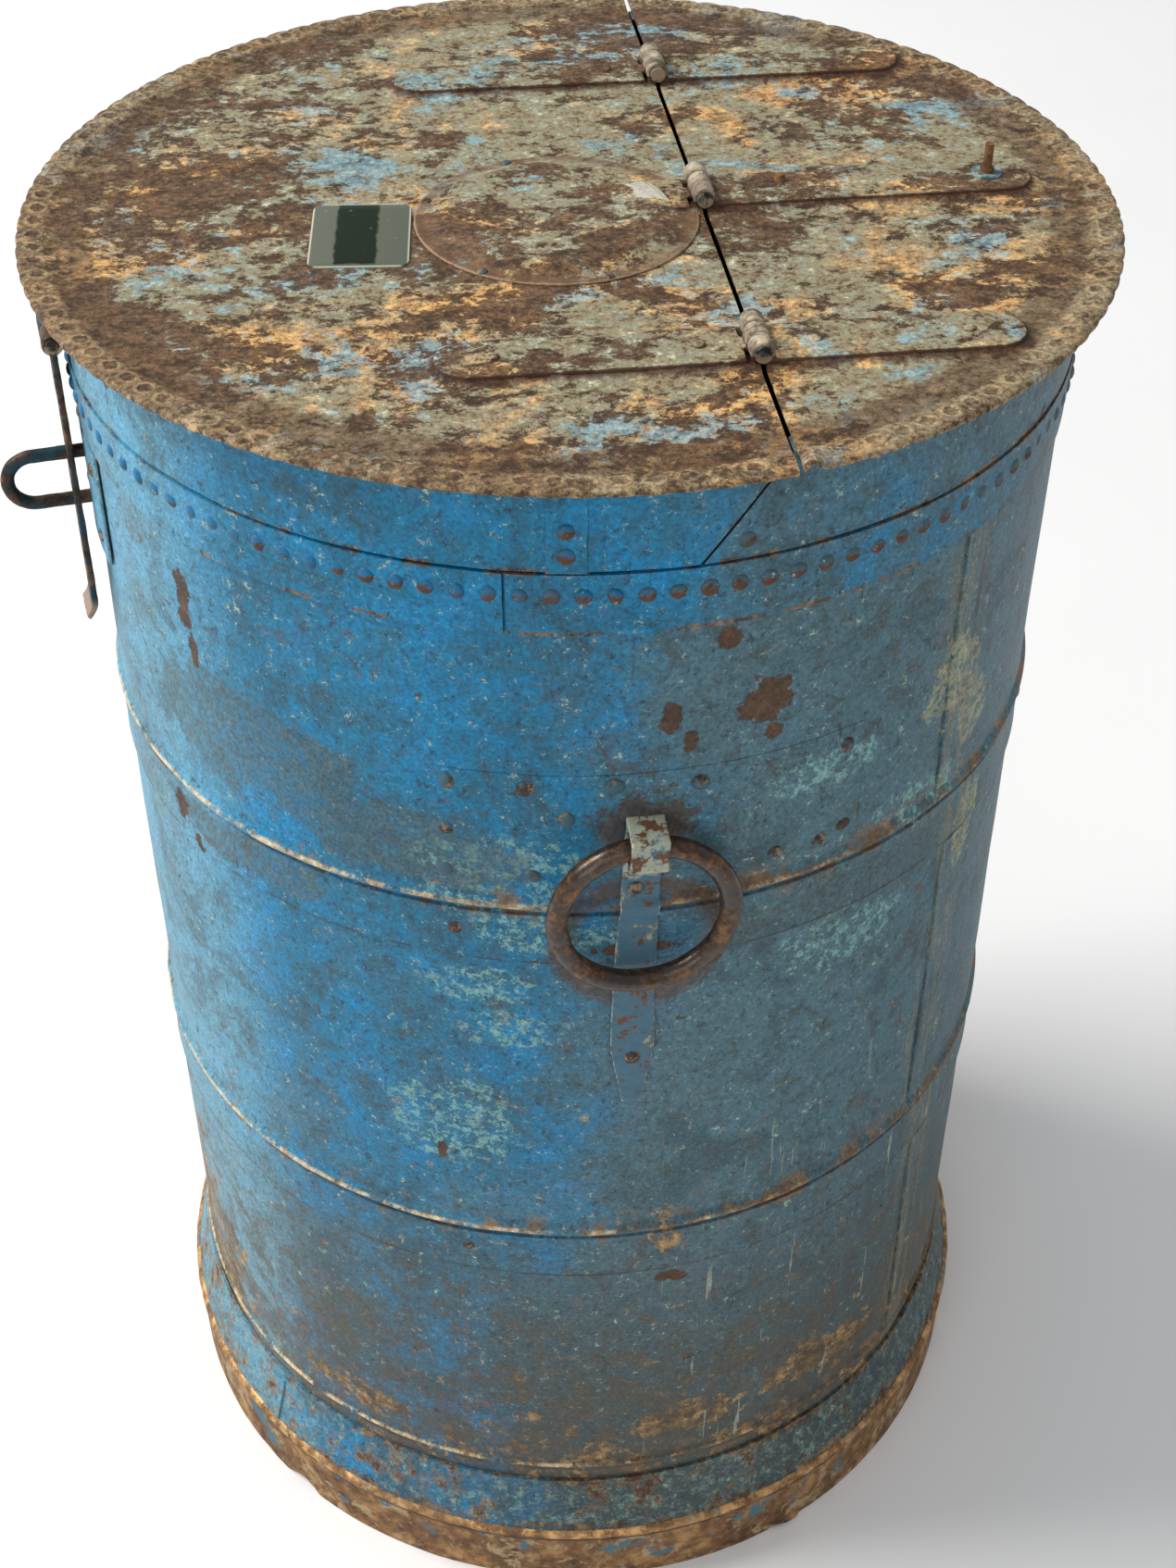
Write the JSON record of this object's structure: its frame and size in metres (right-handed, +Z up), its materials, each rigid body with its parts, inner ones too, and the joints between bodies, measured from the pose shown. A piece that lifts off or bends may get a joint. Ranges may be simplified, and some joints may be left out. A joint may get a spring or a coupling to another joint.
{
  "type": "riveted sheet-iron storage drum with a hinged half lid",
  "caption": "Upright riveted iron drum with rolled foot, beaded courses, strap-hinged half lid, hasp over a staple and swinging ring handles.",
  "frame": {"origin": "on the drum's axis at the level of the foot's lower edge", "axes": "+Z up along the drum's axis, hinge line of the lid parallel to Y, hasp towards -X, ring handles at -Y and +Y"},
  "size_m": [0.6467, 0.6266, 0.9572],
  "materials": {
    "blue_paint": "worn, speckled satin paint",
    "dull_paint": "faded, grimy satin paint",
    "lid_patina": "flaking old paint over rust, matt",
    "rusty_iron": "rusty, rough",
    "worn_iron": "worn dull iron",
    "dark_plate": "glossy dark enamel, blank"
  },
  "bodies": {
    "drum": {"bottom_plate": "rusty_iron", "foot_ring": "rusty_iron", "base_hoop": "dull_paint", "shell_lower": "dull_paint", "shell_middle": "blue_paint", "shell_upper": "blue_paint", "collar": "dull_paint", "top_hoop": "blue_paint", "top_hoop_rivets": "rusty_iron", "lap_rivets": "rusty_iron", "fixed_lid_plate": "lid_patina", "fixed_skirt": "blue_paint", "fixed_skirt_rivets": "dull_paint", "fixed_leaf_front": "lid_patina", "fixed_leaf_middle": "lid_patina", "fixed_leaf_back": "lid_patina", "fixed_leaf_rivets": "rusty_iron", "strap_stud": "rusty_iron", "stud_washer": "worn_iron", "rivet_stump": "rusty_iron", "hinge_pin_front": "worn_iron", "hinge_pin_middle": "worn_iron", "hinge_pin_back": "worn_iron", "staple": "rusty_iron", "staple_plate": "blue_paint", "staple_plate_rivets": "rusty_iron", "backing_sheet_front": "blue_paint", "backing_sheet_back": "blue_paint", "backing_rivets_front": "rusty_iron", "backing_rivets_back": "rusty_iron", "ring_bracket_front": "dull_paint", "ring_bracket_back": "dull_paint", "bracket_rivets_front": "rusty_iron", "bracket_rivets_back": "rusty_iron"},
    "lid_flap": {"lid_flap_plate": "lid_patina", "flap_skirt": "blue_paint", "flap_skirt_rivets": "dull_paint", "flap_leaf_front": "lid_patina", "flap_leaf_middle": "lid_patina", "flap_leaf_back": "lid_patina", "flap_leaf_rivets": "rusty_iron", "patch_plate": "lid_patina", "patch_rivets": "rusty_iron", "name_plate": "dark_plate", "hasp_bracket": "dull_paint", "hasp_bracket_rivets": "rusty_iron", "hasp_pin": "worn_iron"},
    "hasp": {"hasp_strap": "rusty_iron"},
    "front_ring": {"ring_front": "rusty_iron"},
    "back_ring": {"ring_back": "rusty_iron"}
  },
  "joints": [
    {"name": "lid_flap_hinge", "type": "hinge", "parent": "drum", "child": "lid_flap", "pos_m": [0.073, -0.005, 0.942], "axis": [0, 1, 0], "range_deg": [0, 165]},
    {"name": "hasp_swing", "type": "hinge", "parent": "lid_flap", "child": "hasp", "pos_m": [-0.29559, -0.04154, 0.8985], "axis": [-0.1392, 0.9903, 0], "range_deg": [0, 150]},
    {"name": "front_ring_swing", "type": "hinge", "parent": "drum", "child": "front_ring", "pos_m": [0, -0.3025, 0.709], "axis": [-1, 0, 0], "range_deg": [0, 165]},
    {"name": "back_ring_swing", "type": "hinge", "parent": "drum", "child": "back_ring", "pos_m": [0, 0.3025, 0.709], "axis": [1, 0, 0], "range_deg": [0, 165]}
  ]
}
